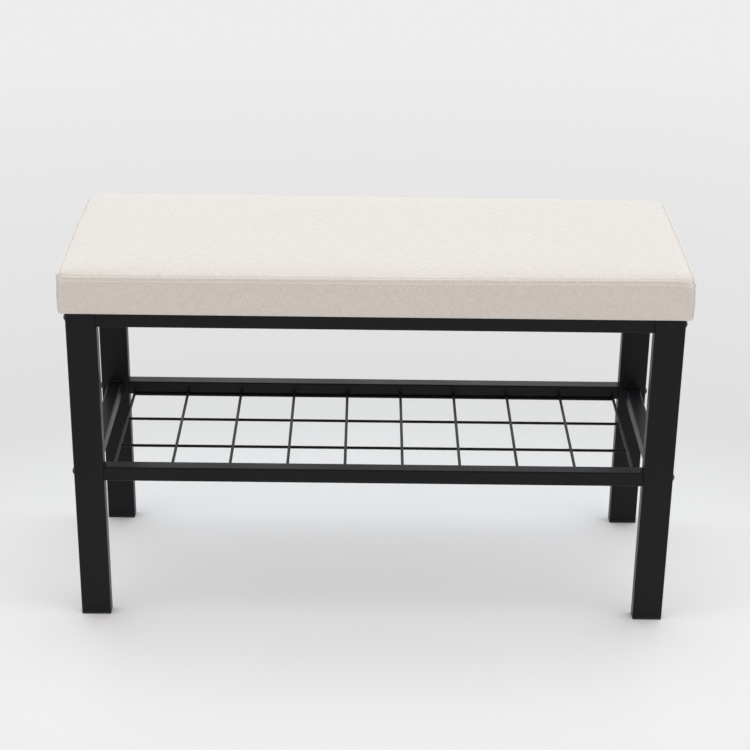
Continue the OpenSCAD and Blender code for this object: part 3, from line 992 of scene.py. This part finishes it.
def side_bar_beads():
    """Beads between the side bars and the legs: under, beside and, on the lower bars, above them."""
    for name in ("left_upper", "right_upper", "left_lower", "right_lower"):
        low, high = (np.array(corner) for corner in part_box(name + "_side_bar"))
        middle, half = (low + high) / 2, (high - low) / 2
        for sign in (-1, 1):
            wall = np.array([0.0, -sign, 0.0])
            for axis, facing in ((2, -1), (0, -1), (0, 1), (2, 1)):
                if "upper" in name and (axis, facing) == (2, 1):
                    continue
                rise = np.zeros(3)
                rise[axis] = facing
                run = np.zeros(3)
                run[2 - axis] = half[2 - axis] - WELD_INSET
                corner = middle + half[axis] * rise - half[1] * wall
                yield fillet_bead(corner - run, corner + run, wall, rise)


def wire_end_beads():
    """Beads at both ends of every cross wire, where it meets the shelf's rails, no two of them alike."""
    for row in frame["record"]["subparts"]:
        if "cross_wire" in row["node"]:
            low, high = (np.array(corner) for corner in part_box(row["node"]))
            middle, reach = (low + high) / 2, (high - low) / 2
            for sign in (-1.0, 1.0):
                along = np.array([0.0, -sign, 0.0])
                yield wire_bead(middle - reach[1] * along, along, reach[2], seed=37 * middle[0] + sign)


def build_welds():
    """One object with all the beads; their faces are turned outwards at the end."""
    vertices, faces = [], []
    for rings in list(side_bar_beads()) + list(wire_end_beads()):
        add_loft(vertices, faces, rings)
    welds = mesh_object("frame_weld_beads", vertices, faces, FINISHES["frame_tube"])
    bpy.context.view_layer.objects.active = welds
    bpy.ops.object.mode_set(mode="EDIT")
    bpy.ops.mesh.select_all(action="SELECT")
    bpy.ops.mesh.normals_make_consistent(inside=False)
    bpy.ops.object.mode_set(mode="OBJECT")
    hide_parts("side_frame_welds")
    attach(welds, "root")


# ---- Stage ----

CAMERA_PLACE = (-0.0100, -2.3859, 1.3580)
CAMERA_PITCH = 23.94                     # degrees below the horizon
CAMERA_YAW = 0.256                       # degrees to the right
CAMERA_ROLL = 0.75                       # degrees anticlockwise
CAMERA_LENS = 90.15                      # millimetres
CAMERA_SENSOR = 36                       # millimetres
FLOOR_SIZE = 60                          # metres

SKY_FILL = (0.14, 0.14, 0.13)            # light from everywhere
SOFT_BOXES = [                           # direction of each broad light, and its colour at the centre
    ((1, 0, 1), (1.05, 1.14, 1.22)),
    ((-1, 0, 1), (0.85, 0.93, 1.01)),
    ((0, 1, 1), (0.94, 1.00, 1.05)),
    ((0, -1, 1), (0.40, 0.24, 0.15)),
    ((1, 0, 0), (1.03, 1.03, 1.03)),
    ((-1, 0, 0), (0.97, 0.97, 0.97)),
    ((0, 1, 0), (0.60, 0.60, 0.60)),
]
BOX_FOCUS = 4                            # the higher, the narrower each light


def soft_box(tree, sky, direction, colour):
    """A broad light in the sky: colour times the cosine to its direction, raised to BOX_FOCUS."""
    towards = Vector(direction).normalized()
    facing = add(tree, "ShaderNodeVectorMath", {0: sky, 1: towards}, operation="DOT_PRODUCT")
    above = maths(tree, "MAXIMUM", facing.outputs["Value"], 0.0)
    fade = maths(tree, "POWER", above, BOX_FOCUS)
    light = add(tree, "ShaderNodeVectorMath", {0: colour, "Scale": fade}, operation="SCALE")
    return light.outputs["Vector"]


def build_sky():
    """Soft studio light from above, behind and both sides, weaker from the front."""
    world = bpy.data.worlds.new("studio")
    bpy.context.scene.world = world
    world.use_nodes = True
    tree = world.node_tree
    tree.nodes.clear()
    sky = add(tree, "ShaderNodeTexCoord").outputs["Generated"]
    total = SKY_FILL
    for direction, colour in SOFT_BOXES:
        light = soft_box(tree, sky, direction, colour)
        both = add(tree, "ShaderNodeVectorMath", {0: total, 1: light}, operation="ADD")
        total = both.outputs["Vector"]
    background = add(tree, "ShaderNodeBackground", {"Color": total, "Strength": 1.0})
    add(tree, "ShaderNodeOutputWorld", {"Surface": background.outputs["Background"]})


def build_floor():
    """A plain floor that reaches past everything the camera sees."""
    bpy.ops.mesh.primitive_plane_add(size=FLOOR_SIZE)
    floor = bpy.context.object
    floor.name = "floor"
    floor.data.materials.append(plain_floor("pale_floor"))


def build_camera():
    """The camera at the photograph's viewing angle."""
    data = bpy.data.cameras.new("camera")
    data.lens = CAMERA_LENS
    data.sensor_width = CAMERA_SENSOR
    camera = bpy.data.objects.new("camera", data)
    bpy.context.scene.collection.objects.link(camera)
    turn = (Matrix.Rotation(math.radians(-CAMERA_YAW), 4, "Z")
            @ Matrix.Rotation(math.radians(90 - CAMERA_PITCH), 4, "X")
            @ Matrix.Rotation(math.radians(CAMERA_ROLL), 4, "Z"))
    camera.matrix_world = Matrix.Translation(CAMERA_PLACE) @ turn
    bpy.context.scene.camera = camera


finish_cad_nodes()
build_camera()
build_floor()
build_sky()
build_topstitching(*build_cushion())
build_dust_cover()
build_welds()
bpy.context.scene.view_settings.view_transform = "Standard"
